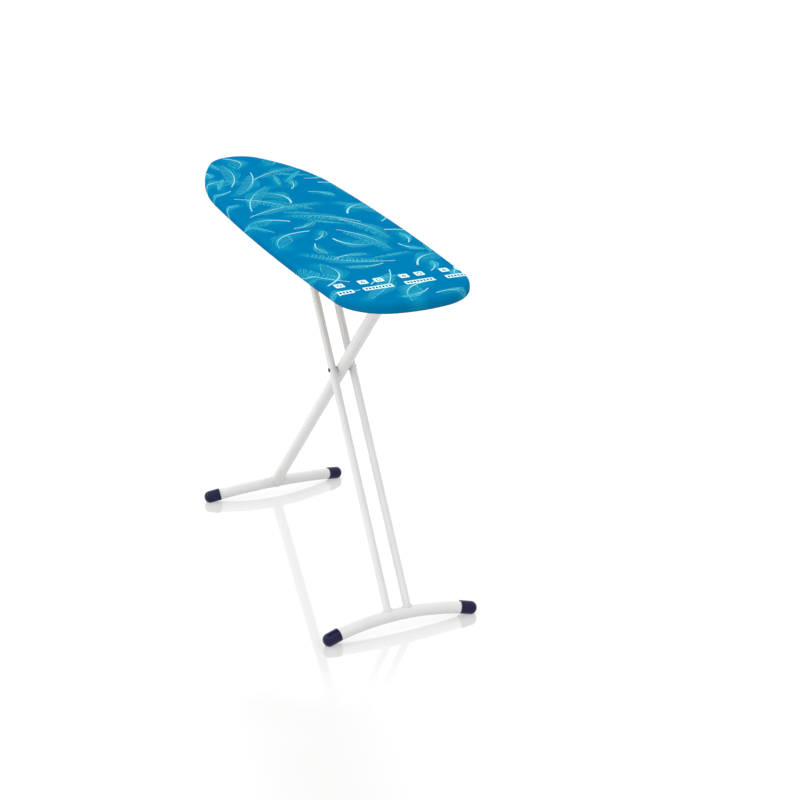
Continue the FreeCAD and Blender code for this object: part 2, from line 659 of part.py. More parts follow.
# ---------------------------------------------------------------- slider and release lever
def from_pin(x, z):
    """A place given from the slide pin, as X and Z in the board's frame."""
    return f"({{slider_x}} + ({x}))", f"({{hinge_height}} + ({z}))"


LEVER_PIVOT = ("{lever_pivot_x}", "{lever_pivot_z}")
LATCH = ("{lever_pivot_x} - {lever_arm}", "{lever_pivot_z}")
HANDLE = ("{handle_x}", "{handle_drop}")


def side_block(name, sign, inner, outer, low, high):
    """A block on one side, between two corners given from the slide pin."""
    near_side, far_side = (inner, outer) if sign > 0 else (f"-({outer})", f"-({inner})")
    x0, z0 = from_pin(*low)
    x1, z1 = from_pin(*high)
    return block(name, x0, x1, near_side, far_side, z0, z1)


def make_glider(side, sign):
    """A plastic shoe that carries one end of the slide pin inside its rail."""
    shoe = side_block(f"shoe_{side}", sign, "{glider_inside}", "{glider_outside}",
                      ("{glider_back}", "{glider_bottom}"), ("{glider_front}", "{glider_top}"))
    bore = rod(f"shoe_bore_{side}", "{slide_pin} + 2 * {running_gap}", "2 * {slide_pin_length}",
               "{slider_x}", "-{slide_pin_length}", "{hinge_height}")
    slot = side_block(f"shoe_slot_{side}", sign, "{glider_inside}", "{bridge_half_width}",
                      ("{bridge_back}", "{bridge_bottom}"),
                      ("{bridge_front}", "{bridge_bottom} + {bridge_sheet}"))
    bored = cut(shoe, bore, f"shoe_bored_{side}")
    keep(cut(bored, slot, f"shoe_slotted_{side}"), f"glider_{side}")


def make_bridge():
    """The plate that joins the two gliders, with two lugs for the lever's pin."""
    x0, z0 = from_pin("{bridge_back}", "{bridge_bottom}")
    x1, z1 = from_pin("{bridge_front}", "{bridge_bottom} + {bridge_sheet}")
    pieces = [block("bridge_plate", x0, x1, "-{bridge_half_width}", "{bridge_half_width}", z0, z1)]
    for side, sign in LEFT_RIGHT:
        low = ("{lever_pivot_x} - {lug_width} / 2", "{lever_pivot_z} - {lug_width} / 2")
        high = ("{lever_pivot_x} + {lug_width} / 2", "{bridge_bottom} + {bridge_sheet} / 2")
        pieces.append(side_block(f"lug_{side}", sign, "{lug_offset} - {lug_sheet} / 2",
                                 "{lug_offset} + {lug_sheet} / 2", low, high))
    hole_x, hole_z = from_pin(*LEVER_PIVOT)
    drill = rod("lug_drill", "{lever_pin}", "2 * {bridge_half_width}", hole_x,
                "-{bridge_half_width}", hole_z)
    keep(cut(fuse(pieces, "bridge_blank"), drill, "bridge_drilled"), "slider_bridge")
    keep(rod("lever_rod", "{lever_pin}", "2 * ({lug_offset} + {lever_pin_overrun})", hole_x,
             "-{lug_offset} - {lever_pin_overrun}", hole_z), "lever_pivot_pin")


def make_lever():
    """Two side plates on the pivot pin, a handle rod out to the left, and the latch bar."""
    latch_x, latch_z = from_pin(*LATCH)
    handle_x, handle_z = from_pin(*HANDLE)
    pivot_x, pivot_z = from_pin(*LEVER_PIVOT)
    inner = "{lever_offset} - {lever_sheet} / 2"
    outer = "{lever_offset} + {lever_sheet} / 2"
    half_height, half_tie = "{lever_height} / 2", "{lever_tie_width} / 2"
    pieces = []
    for side, sign in LEFT_RIGHT:
        pieces.append(side_block(f"lever_plate_{side}", sign, inner, outer,
                                 (f"{LATCH[0]} - {half_height}", f"{LATCH[1]} - {half_height}"),
                                 (f"{{lever_pivot_x}} + {half_height}", f"{LATCH[1]} + {half_height}")))
    tie_x, tie_z = from_pin(f"{{handle_x}} - {half_tie}", f"{{lever_pivot_z}} - {half_height}")
    pieces.append(block("lever_tie", tie_x, f"{tie_x} + {{lever_tie_width}}", "-{lever_offset}",
                        "{lever_offset}", tie_z, f"{tie_z} + {{lever_tie_sheet}}"))
    pieces.append(side_block("lever_drop", 1, inner, outer,
                             (f"{{handle_x}} - {half_tie}", f"{{handle_drop}} - {half_tie}"),
                             (f"{{handle_x}} + {half_tie}", "{lever_pivot_z}")))
    pieces.append(rod("handle_rod", "{handle_rod}", f"{{handle_reach}} - ({inner})", handle_x,
                      inner, handle_z))
    pin_hole = rod("lever_pin_hole", "{lever_pin} + 2 * {running_gap}", "2 * {lug_offset}", pivot_x,
                   "-{lug_offset}", pivot_z)
    bar_hole = rod("latch_hole", "{latch_bar}", "2 * {lug_offset}", latch_x, "-{lug_offset}", latch_z)
    drilled = cut(fuse(pieces, "lever_blank"), pin_hole, "lever_drilled")
    keep(cut(drilled, bar_hole, "lever_finished"), "release_lever")
    keep(rod("latch_rod", "{latch_bar}", "{latch_bar_length}", latch_x, "-{latch_bar_length} / 2",
             latch_z), "latch_bar")
    grip = tube_along_y("grip_shape", "{grip_diameter}", "{handle_rod}", "{grip_length}")
    between = value("({grip_diameter} + {handle_rod}) / 4")
    round_edges(grip, "{grip_rounding}", lambda middle: near(abs(middle.y), "{grip_length} / 2")
                and math.hypot(middle.x, middle.z) > between)
    place(grip, handle_x, "{handle_reach} - {grip_length} / 2", handle_z)
    keep(grip, "lever_grip")


def make_lever_spring():
    """A torsion spring round the lever's pin, which holds the latch bar down."""
    spring = doc.addObject("Part::Helix", "spring_line")
    bind(spring, "Pitch", "{spring_pitch}")
    bind(spring, "Height", "{spring_length}")
    bind(spring, "Radius", "{spring_radius}")
    wire = doc.addObject("Part::Circle", "spring_wire_section")
    bind(wire, "Radius", "{spring_wire} / 2")
    place(wire, "{spring_radius}", "0", "0", TURN_X, "90")
    coil = doc.addObject("Part::Sweep", "spring_coil")
    coil.Sections = [wire]
    coil.Spine = (spring, [])
    coil.Solid = True
    coil.Frenet = True
    x, z = from_pin(*LEVER_PIVOT)
    place(coil, x, "{spring_offset} - {spring_length} / 2", z, TURN_X * -1, "90")
    keep(coil, "lever_spring")


# ---------------------------------------------------------------- build, check and export
def check_all():
    """Stop if any object failed or any sub-part has no sound solid."""
    for thing in doc.Objects:
        if {"Invalid", "Error"} & set(thing.State):
            raise RuntimeError(f"{thing.Name} ({thing.Label}): {thing.State}")
    for label, thing in nodes.items():
        shape = thing.Shape
        if shape.isNull() or not shape.isValid() or not shape.Solids:
            raise RuntimeError(f"{label} has no valid solid")


def export_all():
    os.makedirs("parts", exist_ok=True)
    for label, thing in nodes.items():
        thing.Shape.exportStep(os.path.join("parts", f"{label}.step"))


def main():
    make_core()
    make_pad()
    make_cover()
    make_hem_elastic()
    below_floor = block("below_floor", "-{board_length}", "{board_length}", "-{foot_span}",
                        "{foot_span}", "-2 * {thick_tube}", "0")
    make_single_leg(below_floor)
    make_twin_leg(below_floor)
    make_pivot_rivet()
    make_hinge_bolt()
    make_fittings()
    for side, sign in LEFT_RIGHT:
        make_glider(side, sign)
    make_bridge()
    make_lever()
    make_lever_spring()
    doc.recompute()
    check_all()
    export_all()
    print(f"{len(nodes)} sub-parts written to parts/")


main()
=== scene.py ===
"""Looks for the folding ironing board: printed cover, pad, powder-coated tubes and glossy caps."""
import json
import math
from collections import namedtuple

import bmesh
import bpy
import numpy as np
from mathutils import Matrix, Vector


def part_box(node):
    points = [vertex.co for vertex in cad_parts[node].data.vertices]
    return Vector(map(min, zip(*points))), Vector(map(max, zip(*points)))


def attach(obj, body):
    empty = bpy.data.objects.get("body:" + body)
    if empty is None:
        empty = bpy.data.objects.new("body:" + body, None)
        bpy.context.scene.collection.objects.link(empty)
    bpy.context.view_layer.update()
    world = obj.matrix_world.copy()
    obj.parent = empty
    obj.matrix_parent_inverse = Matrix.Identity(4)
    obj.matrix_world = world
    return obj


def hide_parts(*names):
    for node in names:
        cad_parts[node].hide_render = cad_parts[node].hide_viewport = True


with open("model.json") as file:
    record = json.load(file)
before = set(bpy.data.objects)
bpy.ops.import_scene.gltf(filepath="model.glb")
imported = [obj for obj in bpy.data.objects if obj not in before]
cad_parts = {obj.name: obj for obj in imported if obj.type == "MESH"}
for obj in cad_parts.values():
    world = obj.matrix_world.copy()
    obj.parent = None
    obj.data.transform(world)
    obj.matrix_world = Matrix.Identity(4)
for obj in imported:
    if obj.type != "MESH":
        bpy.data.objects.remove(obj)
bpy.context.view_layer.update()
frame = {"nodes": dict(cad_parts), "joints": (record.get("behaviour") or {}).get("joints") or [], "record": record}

MM = 0.001
COVER_LOW, COVER_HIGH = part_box("cover")
TOP = COVER_HIGH[2]
HALF_LENGTH = (COVER_HIGH[0] - COVER_LOW[0]) / 2
HALF_WIDTH = (COVER_HIGH[1] - COVER_LOW[1]) / 2
JOINTS = {joint["name"]: joint for joint in frame["joints"]}


# ---------------------------------------------------------------- materials
def new_material(name):
    """A material with nodes, its tree and its shader."""
    material = bpy.data.materials.new(name)
    material.use_nodes = True
    tree = material.node_tree
    return material, tree, tree.nodes["Principled BSDF"]


def add_node(tree, kind, inputs=None, **settings):
    """A shader node with its settings, and inputs that are numbers or other nodes' outputs."""
    node = tree.nodes.new(kind)
    for key, setting in settings.items():
        setattr(node, key, setting)
    for key, source in (inputs or {}).items():
        if isinstance(source, bpy.types.NodeSocket):
            tree.links.new(source, node.inputs[key])
        else:
            node.inputs[key].default_value = source
    return node


def object_coordinates(tree):
    return add_node(tree, "ShaderNodeTexCoord").outputs["Object"]


def noise(tree, scale, detail=3.0, stretch=None):
    """Noise in object space; stretch scales each axis first."""
    place = object_coordinates(tree)
    if stretch:
        place = add_node(tree, "ShaderNodeMapping", {"Vector": place, "Scale": stretch}).outputs[0]
    return add_node(tree, "ShaderNodeTexNoise", {"Vector": place, "Scale": scale, "Detail": detail})


def ramp(tree, factor, low, high, start=0.3, end=0.7):
    """Blend two colours as the factor goes from start to end."""
    node = add_node(tree, "ShaderNodeValToRGB", {"Fac": factor})
    node.color_ramp.elements[0].position = start
    node.color_ramp.elements[0].color = (*low, 1)
    node.color_ramp.elements[1].position = end
    node.color_ramp.elements[1].color = (*high, 1)
    return node.outputs["Color"]


def mix_colours(tree, factor, first, second):
    """The first colour at factor 0 and the second at 1."""
    return add_node(tree, "ShaderNodeMix", {"Factor": factor, 6: first, 7: second},
                    data_type="RGBA").outputs[2]


def spread(tree, factor, low, high):
    """Map 0..1 onto low..high."""
    return add_node(tree, "ShaderNodeMapRange", {"Value": factor, "To Min": low, "To Max": high}).outputs[0]


def add_bump(tree, shader, height, strength, distance):
    """Let a height stand out by up to a distance, in metres."""
    bump = add_node(tree, "ShaderNodeBump", {"Height": height, "Strength": strength, "Distance": distance})
    tree.links.new(bump.outputs["Normal"], shader.inputs["Normal"])


def powder_coat():
    """White powder coat: a fine orange peel and the faintest unevenness of tone."""
    material, tree, shader = new_material("white_powder_coat")
    tone = noise(tree, 14.0, 4.0).outputs["Fac"]
    tree.links.new(ramp(tree, tone, (0.585, 0.583, 0.58), (0.62, 0.618, 0.612)),
                   shader.inputs["Base Color"])
    peel = noise(tree, 750.0, 2.0).outputs["Fac"]
    tree.links.new(spread(tree, tone, 0.28, 0.38), shader.inputs["Roughness"])
    add_bump(tree, shader, peel, 0.18, 0.0004)
    shader.inputs["Coat Weight"].default_value = 0.25
    shader.inputs["Coat Roughness"].default_value = 0.18
    return material


def moulded_plastic(name, dark, light, gloss, grain):
    """Injection-moulded plastic with a faint flow pattern and a fine moulded grain."""
    material, tree, shader = new_material(name)
    flow = noise(tree, 60.0, 5.0, (1.0, 1.0, 2.5)).outputs["Fac"]
    tree.links.new(ramp(tree, flow, dark, light), shader.inputs["Base Color"])
    tree.links.new(spread(tree, flow, gloss, gloss + 0.10), shader.inputs["Roughness"])
    add_bump(tree, shader, noise(tree, 1400.0, 2.0).outputs["Fac"], grain, 0.0003)
    shader.inputs["Specular IOR Level"].default_value = 0.2
    return material


def zinc_steel(name="zinc_steel", dark=(0.36, 0.37, 0.38), light=(0.62, 0.63, 0.64)):
    """Zinc-plated or bare steel with drawn streaks and a mottled sheen."""
    material, tree, shader = new_material(name)
    mottle = noise(tree, 120.0, 6.0).outputs["Fac"]
    streaks = noise(tree, 900.0, 2.0, (1.0, 0.08, 1.0)).outputs["Fac"]
    tree.links.new(ramp(tree, mottle, dark, light), shader.inputs["Base Color"])
    tree.links.new(spread(tree, streaks, 0.26, 0.5), shader.inputs["Roughness"])
    add_bump(tree, shader, streaks, 0.12, 0.0002)
    shader.inputs["Metallic"].default_value = 1.0
    return material


def particle_board():
    """Pressed wood chips in a resin binder."""
    material, tree, shader = new_material("particle_board")
    chips = add_node(tree, "ShaderNodeTexVoronoi", {"Vector": object_coordinates(tree), "Scale": 260.0})
    tone = add_node(tree, "ShaderNodeSeparateColor", {"Color": chips.outputs["Color"]}).outputs[0]
    tree.links.new(ramp(tree, tone, (0.30, 0.19, 0.10), (0.62, 0.47, 0.30), 0.0, 1.0),
                   shader.inputs["Base Color"])
    add_bump(tree, shader, chips.outputs["Distance"], 0.35, 0.0006)
    shader.inputs["Roughness"].default_value = 0.85
    return material


THREAD_PITCH = 0.7 * MM
ONE_WAVE = 0.314          # a wave texture of this scale has one wave a metre


def thread_height(tree):
    """The height of a plain weave: two crossed sets of threads, one pitch apart."""
    place = object_coordinates(tree)
    heights = []
    for axis in ("X", "Y"):
        wave = add_node(tree, "ShaderNodeTexWave", {"Vector": place, "Scale": ONE_WAVE / THREAD_PITCH,
                                                  "Distortion": 0.6, "Detail": 1.0},
                        wave_type="BANDS", bands_direction=axis)
        heights.append(wave.outputs["Fac"])
    return add_node(tree, "ShaderNodeMath", {0: heights[0], 1: heights[1]}, operation="MAXIMUM").outputs[0]


BLUE = (0.000, 0.150, 0.331)
DEEP_BLUE = (0.000, 0.132, 0.305)
HAZE_BLUE = (0.004, 0.232, 0.375)
INK = (0.075, 0.520, 0.640)
WHITE_INK = (0.560, 0.780, 0.790)
MARK_BLUE = (0.000, 0.050, 0.130)
# the deeper blue of the painted shade on the cover's lower side and underside
PAINTED_SHADE_BLUE = (0.004, 0.085, 0.170)


def printed_cotton():
    """Blue cotton: the mesh's colour holds the print's haze and a painted shade on the cover's side and underside;
    the weave is bump.
    """
    material, tree, shader = new_material("printed_cotton")
    haze = add_node(tree, "ShaderNodeVertexColor", layer_name="print").outputs["Color"]
    cloud = noise(tree, 30.0, 4.0).outputs["Fac"]
    cloth = ramp(tree, cloud, DEEP_BLUE, BLUE, 0.1, 0.5)
    amount = add_node(tree, "ShaderNodeSeparateColor", {"Color": haze})
    fibres = noise(tree, 420.0, 3.0, (1.0, 0.3, 1.0)).outputs["Fac"]
    broken = add_node(tree, "ShaderNodeMath", {0: amount.outputs[0], 1: spread(tree, fibres, 0.55, 1.35)},
                      operation="MULTIPLY").outputs[0]
    hazy = mix_colours(tree, broken, cloth, (*HAZE_BLUE, 1))
    # painted shade: the second channel of the mesh's colour darkens the cloth towards this deeper blue on the side
    # and underside
    painted_shade = mix_colours(tree, amount.outputs[1], hazy, (*PAINTED_SHADE_BLUE, 1))
    tree.links.new(painted_shade, shader.inputs["Base Color"])
    add_bump(tree, shader, thread_height(tree), 0.25, 0.0002)
    shader.inputs["Roughness"].default_value = 0.85
    shader.inputs["Specular IOR Level"].default_value = 0.0
    return material


def print_ink():
    """Pigment on the cloth: the mesh's colour holds its strength, whiteness and darkness."""
    material, tree, shader = new_material("print_ink")
    strength = add_node(tree, "ShaderNodeVertexColor", layer_name="print").outputs["Color"]
    parts = add_node(tree, "ShaderNodeSeparateColor", {"Color": strength})
    speckle = noise(tree, 900.0, 2.0).outputs["Fac"]
    worn = add_node(tree, "ShaderNodeMath", {0: parts.outputs[0], 1: spread(tree, speckle, 0.8, 1.15)},
                    operation="MULTIPLY").outputs[0]
    tint = mix_colours(tree, worn, (*HAZE_BLUE, 1), (*INK, 1))
    bright = mix_colours(tree, parts.outputs[1], tint, (*WHITE_INK, 1))
    marked = mix_colours(tree, parts.outputs[2], bright, (*MARK_BLUE, 1))
    tree.links.new(marked, shader.inputs["Base Color"])
    add_bump(tree, shader, thread_height(tree), 0.2, 0.0002)
    shader.inputs["Roughness"].default_value = 0.8
    shader.inputs["Specular IOR Level"].default_value = 0.0
    return material


def braided_elastic():
    """White elastic with a fine rib across it."""
    material, tree, shader = new_material("braided_elastic")
    rib = add_node(tree, "ShaderNodeTexWave", {"Vector": object_coordinates(tree), "Scale": 160.0,
                                             "Distortion": 1.0}, bands_direction="DIAGONAL")
    tree.links.new(ramp(tree, rib.outputs["Fac"], (0.62, 0.62, 0.60), (0.82, 0.82, 0.80)),
                   shader.inputs["Base Color"])
    add_bump(tree, shader, rib.outputs["Fac"], 0.5, 0.0004)
    shader.inputs["Roughness"].default_value = 0.8
    return material


def felt():
    """Needled felt: short tangled fibres."""
    material, tree, shader = new_material("needle_felt")
    fibres = noise(tree, 380.0, 6.0).outputs["Fac"]
    tree.links.new(ramp(tree, fibres, (0.60, 0.57, 0.50), (0.80, 0.78, 0.72)), shader.inputs["Base Color"])
    add_bump(tree, shader, fibres, 0.6, 0.0008)
    shader.inputs["Roughness"].default_value = 0.95
    return material


# ---------------------------------------------------------------- board outline and section
NOSE_RADIUS = 88.5 * MM
SHOULDER_RADIUS = 730 * MM
CORNER_RADIUS = 133 * MM
CORNER_X = 530.5 * MM
NOSE_TURN = math.radians(60)
SHOULDER_TURN = math.radians(87)


def side_normal(turn):
    """The outward direction after a turn from the tip of the nose."""
    return np.array([-math.cos(turn), math.sin(turn)])


def outline_arcs():
    """The left half of the board's outline as tangent arcs: (centre, radius, first, last turn)."""
    nose = np.array([NOSE_RADIUS - HALF_LENGTH, 0.0])
    shoulder = nose + side_normal(NOSE_TURN) * (NOSE_RADIUS - SHOULDER_RADIUS)
    lean = math.sin(SHOULDER_TURN)
    flank_radius = (HALF_WIDTH - shoulder[1] - SHOULDER_RADIUS * lean) / (1 - lean)
    flank = shoulder + side_normal(SHOULDER_TURN) * (SHOULDER_RADIUS - flank_radius)
    flank_turn = math.acos((flank[0] - CORNER_X) / (flank_radius - CORNER_RADIUS))
    corner = flank + side_normal(flank_turn) * (flank_radius - CORNER_RADIUS)
    reach = HALF_LENGTH - CORNER_RADIUS
    end_x = (reach ** 2 - corner @ corner) / (2 * (reach - corner[0]))
    end_turn = math.pi - math.atan2(corner[1], corner[0] - end_x)
    end = np.array([end_x, 0.0])
    return [(nose, NOSE_RADIUS, 0.0, NOSE_TURN),
            (shoulder, SHOULDER_RADIUS, NOSE_TURN, SHOULDER_TURN),
            (flank, flank_radius, SHOULDER_TURN, flank_turn),
            (corner, CORNER_RADIUS, flank_turn, end_turn),
            (end, HALF_LENGTH - end_x, end_turn, math.pi)]


def sample_outline(step):
    """Points and outward normals round the whole outline, evenly spaced along each arc."""
    points, normals = [], []
    for centre, radius, first, last in outline_arcs():
        count = max(2, round(radius * (last - first) / step))
        for turn in first + (last - first) * (np.arange(count) + 0.5) / count:
            points.append(centre + radius * side_normal(turn))
            normals.append(side_normal(turn))
    points, normals = np.array(points), np.array(normals)
    mirror = np.array([1.0, -1.0])
    return (np.concatenate([points, points[::-1] * mirror]),
            np.concatenate([normals, normals[::-1] * mirror]))


EDGE_START = 8 * MM       # the top begins to roll over this far in from the edge
EDGE_HEIGHT = 12 * MM     # and is vertical this far down
UNDER_RADIUS = 6 * MM     # the lower edge rolls under with this radius
HEM_END = 42 * MM         # the hem's free edge lies this far in from the side
CROWN = 1.2 * MM          # the middle of the top stands this much above its rim
CROWN_REACH = 70 * MM     # and is level from this far in
ROLL_POINTS = 15          # points of the section round the top edge,
UNDER_POINTS = 10         # round the lower edge
HEM_POINTS = 8            # and along the hem
SHADE_START, SHADE_POINTS = 13, 9     # the cloth is darkened with painted shade over these points, from the lower rolled edge round to the underside
PRINT_END = 20            # the point of the section where the print stops
FINE_STEP = 2.5 * MM
LOOK_AHEAD = 0.5 * MM     # along the section, to find its slope


def section_path():
    """The cover's cross-section from the top to the hem, as (inset, z), and each point's length.

    The top edge is a quarter of an ellipse, then comes a short upright side, a quarter round
    below and the hem, lying against the underside.
    """
    bottom = COVER_LOW[2]
    path = []
    for turn in np.linspace(0, math.pi / 2, ROLL_POINTS):
        path.append((EDGE_START * (1 - math.sin(turn)), TOP - CROWN - EDGE_HEIGHT * (1 - math.cos(turn))))
    for turn in np.linspace(0, math.pi / 2, UNDER_POINTS):
        path.append((UNDER_RADIUS * (1 - math.cos(turn)), bottom + UNDER_RADIUS * (1 - math.sin(turn))))
    for inset in np.linspace(UNDER_RADIUS, HEM_END, HEM_POINTS + 1)[1:]:
        path.append((inset, bottom))
    path = np.array(path)
    steps = np.hypot(*np.diff(path, axis=0).T)
    return path, np.concatenate([[0.0], np.cumsum(steps)])


SECTION, SECTION_LENGTH = section_path()
FINE_POINTS, FINE_NORMALS = sample_outline(FINE_STEP)


def edge_inset(flat, batch=4000):
    """How far each flat point lies inside the outline, negative outside, and the nearest normal."""
    insets = np.empty(len(flat))
    nearest = np.empty(len(flat), dtype=int)
    reach = (FINE_POINTS * FINE_NORMALS).sum(axis=1)
    for start in range(0, len(flat), batch):
        part = flat[start:start + batch]
        distance = reach[None, :] - part @ FINE_NORMALS.T
        nearest[start:start + batch] = distance.argmin(axis=1)
        insets[start:start + batch] = distance.min(axis=1)
    return insets, FINE_NORMALS[nearest]


def crown_height(inset):
    """The top's height: level in the middle, falling gently by CROWN towards the rolled edge."""
    share = np.clip((inset - EDGE_START) / CROWN_REACH, 0, 1)
    return TOP - CROWN * (1 - share) ** 2


def on_cloth(flat, lift):
    """Lay flat points of the cut cloth on the cover, lift above its surface.

    Past the start of the rolled edge, a point is as far along the cross-section as it was
    on the flat.
    """
    inset, normal = edge_inset(flat)
    travel = np.clip(EDGE_START - inset, 0, SECTION_LENGTH[-1])
    along = np.interp(travel, SECTION_LENGTH, SECTION[:, 0])
    height = np.interp(travel, SECTION_LENGTH, SECTION[:, 1])
    ahead = np.clip(travel + LOOK_AHEAD, 0, SECTION_LENGTH[-1])
    slope_in = np.interp(ahead, SECTION_LENGTH, SECTION[:, 0]) - along
    slope_up = np.interp(ahead, SECTION_LENGTH, SECTION[:, 1]) - height
    size = np.hypot(slope_in, slope_up) + 1e-9
    rolled = travel > 0
    outward = np.where(rolled, -slope_up / size, 0.0)
    upward = np.where(rolled, -slope_in / size, 1.0)
    new_inset = np.where(rolled, along, inset)
    height = np.where(rolled, height, crown_height(inset))
    shift = inset - new_inset + outward * lift
    xy = flat + normal * shift[:, None]
    return np.column_stack([xy, height + upward * lift])


# ---------------------------------------------------------------- mesh helpers
def make_mesh(name, vertices, faces, material, body):
    """A smooth-shaded piece that rides on a body."""
    mesh = bpy.data.meshes.new(name)
    mesh.from_pydata([tuple(map(float, vertex)) for vertex in vertices], [], faces)
    mesh.polygons.foreach_set("use_smooth", [True] * len(mesh.polygons))
    mesh.update()
    piece = bpy.data.objects.new(name, mesh)
    bpy.context.scene.collection.objects.link(piece)
    mesh.materials.append(material)
    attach(piece, body)
    return piece


def paint(piece, colours):
    """Store one colour per vertex under the name that the print's materials read."""
    layer = piece.data.color_attributes.new("print", "FLOAT_COLOR", "POINT")
    layer.data.foreach_set("color", np.asarray(colours, dtype=np.float32).ravel())


def ring_faces(rings, count):
    """Quads between closed rings of equal count, one ring after another."""
    faces = []
    for ring in range(rings - 1):
        here, there = ring * count, (ring + 1) * count
        for index in range(count):
            after = (index + 1) % count
            faces.append((here + index, there + index, there + after, here + after))
    return faces


# ---------------------------------------------------------------- the print
# A generic scatter of feathers, drawn on the flat cloth in millimetres from the middle of the board.
# A leaf is (its first and last share of the quill, its width on the inner and the outer side).
Kind = namedtuple("Kind", "count length bow leaf quill_width hair_pitch streaks haze_reach")
KINDS = {
    "crescent": Kind(13, 140, 0.24, (0.34, 1.0, 36, 5), 4.0, 9.0, 8, 24),
    "plume": Kind(13, 215, 0.09, (0.10, 0.97, 5, 4), 1.7, 10.0, 6, 17),
    "tuft": Kind(20, 88, 0.12, (0.36, 1.0, 11, 9), 1.9, 6.0, 3, 13),
    "spindle": Kind(11, 118, 0.02, (0.0, 1.0, 6, 6), 0.8, 7.0, 0, 12),
}
QUILL_POINTS, CURL_POINTS, FILL_POINTS, EDGE_POINTS, HAZE_POINTS = 36, 8, 20, 60, 14
QUILL_TIP = 1.2
HAIR_WIDTH = 1.5
EDGE_WIDTH = HAIR_WIDTH * 1.15
CURL_LENGTH = 33.0
STREAK_WIDTH = 2.6
SHORTEST_STREAK = 6
STREAK_START, STREAK_PITCH = 3.0, 3.4     # from the quill to the first streak, and on to each next
FILL_STRENGTH = 0.18
HAZE_STRENGTH = 0.75
HAZE_OFFSET, HAZE_WIDTH = 0.55, 0.62      # shares of the haze's reach
HAZE_SKIP = 3                             # points of the quill's thick end without haze
LAYOUT_TRIES = 40
OVERHANG = 30 * MM        # a feather may run this far past the outline
INK_LIFT = 0.12 * MM      # each layer of ink lies this much above the one before
HAZE_LAYER, HAIR_LAYER, QUILL_LAYER, TAG_LAYER, DARK_LAYER, MARK_LAYER = range(1, 7)


def bow(start, middle, end, count):
    """Points of the parabola through three points, and its unit direction at each."""
    start, middle, end = (np.array(point, dtype=float) for point in (start, middle, end))
    share = np.linspace(0, 1, count)[:, None]
    control = 2 * middle - (start + end) / 2
    points = (1 - share) ** 2 * start + 2 * share * (1 - share) * control + share ** 2 * end
    slope = 2 * (1 - share) * (control - start) + 2 * share * (end - control)
    return points, slope / np.linalg.norm(slope, axis=1, keepdims=True)


def inner_side(slope):
    """The unit direction across a bowed line, towards the inside of its bow."""
    bend = np.cross(slope[0], slope[-1])
    return np.column_stack([-slope[:, 1], slope[:, 0]]) * (1 if bend > 0 else -1)


class Ink:
    """Collects thin ribbons and patches of pigment on the flat cloth, in millimetres."""

    def __init__(self):
        self.points = []
        self.layers = []
        self.colours = []
        self.faces = []

    def add(self, point, layer, colour):
        self.points.append(np.array(point, dtype=float))
        self.layers.append(layer)
        self.colours.append((*colour, 1))

    def ribbon(self, line, widths, strengths, white=0.0, layer=HAIR_LAYER, dark=0.0):
        """A strip along a line, with its width and its strength at each point."""
        slope = np.gradient(line, axis=0)
        slope /= np.linalg.norm(slope, axis=1, keepdims=True) + 1e-9
        half = np.broadcast_to(widths, len(line))[:, None] / 2
        across = np.column_stack([-slope[:, 1], slope[:, 0]]) * half
        strengths, whites = np.broadcast_to(strengths, len(line)), np.broadcast_to(white, len(line))
        first = len(self.points)
        for index, point in enumerate(line):
            colour = (strengths[index], whites[index], dark)
            self.add(point + across[index], layer, colour)
            self.add(point - across[index], layer, colour)
        for index in range(len(line) - 1):
            here = first + 2 * index
            self.faces.append((here, here + 1, here + 3, here + 2))

    def panel(self, x, y, size, radius, layer=TAG_LAYER, dark=0.0):
        """A round-cornered rectangle of white or dark ink, in strips across the board."""
        reach = np.linspace(-size[1] / 2, size[1] / 2, 2 * int(size[1] / 3) + 5)
        past = np.clip(np.abs(reach) - (size[1] / 2 - radius), 0, radius)
        widths = size[0] - 2 * (radius - np.sqrt(radius ** 2 - past ** 2))
        line = np.column_stack([np.full(len(reach), x), y + reach])
        self.ribbon(line, widths, 1.0, 1.0, layer, dark)


def lay_out_feathers():
    """Place each feather where it is furthest from those before it, out of many seeded tries."""
    random = np.random.default_rng(24)
    corner = np.array([HALF_LENGTH, HALF_WIDTH]) / MM
    placed, taken = [], np.empty((0, 2))
    for kind in (kind for kind in KINDS for _ in range(KINDS[kind].count)):
        best, best_room = None, -1.0
        for _ in range(LAYOUT_TRIES):
            middle = random.uniform(-corner, corner)
            turn = random.uniform(0, 2 * math.pi)
            along = np.array([math.cos(turn), math.sin(turn)])
            across = np.array([-along[1], along[0]])
            half = KINDS[kind].length * random.uniform(0.85, 1.12) / 2
            bend = KINDS[kind].bow * 2 * half * random.choice((-1, 1))
            ends = (middle - along * half, middle + across * bend, middle + along * half)
            line = bow(*ends, 3)[0]
            room = np.linalg.norm(line[:, None] - taken[None], axis=2).min(initial=1e9)
            off_board = edge_inset(line * MM)[0].min() < -OVERHANG
            if not off_board and room > best_room:
                best, best_room = (kind, *ends), room
        placed.append(best)
        taken = np.concatenate([taken, bow(*best[1:], 3)[0]])
    return placed


def leaf_edge(kind, quill, inner, side, share):
    """Points of the leaf's edge on one side of the quill, at shares of the leaf's length."""
    first, last, wide, narrow = KINDS[kind].leaf
    width = wide if side > 0 else narrow
    place = np.linspace(0, 1, len(quill))
    at = first + (last - first) * share
    middle = np.column_stack([np.interp(at, place, quill[:, axis]) for axis in (0, 1)])
    across = np.column_stack([np.interp(at, place, inner[:, axis]) for axis in (0, 1)])
    return middle + across * (side * width * np.sin(math.pi * share) ** 0.8)[:, None]


def dashes(ink, line, width, strength, random):
    """A broken line of uneven dashes along a dense line."""
    here = 0
    while here < len(line) - 3:
        step = int(random.integers(4, 10))
        part = line[here:here + step + 1]
        if len(part) > 2:
            ink.ribbon(part, width * random.uniform(0.8, 1.15), strength * random.uniform(0.75, 1.0))
        here += step + int(random.integers(1, 4))


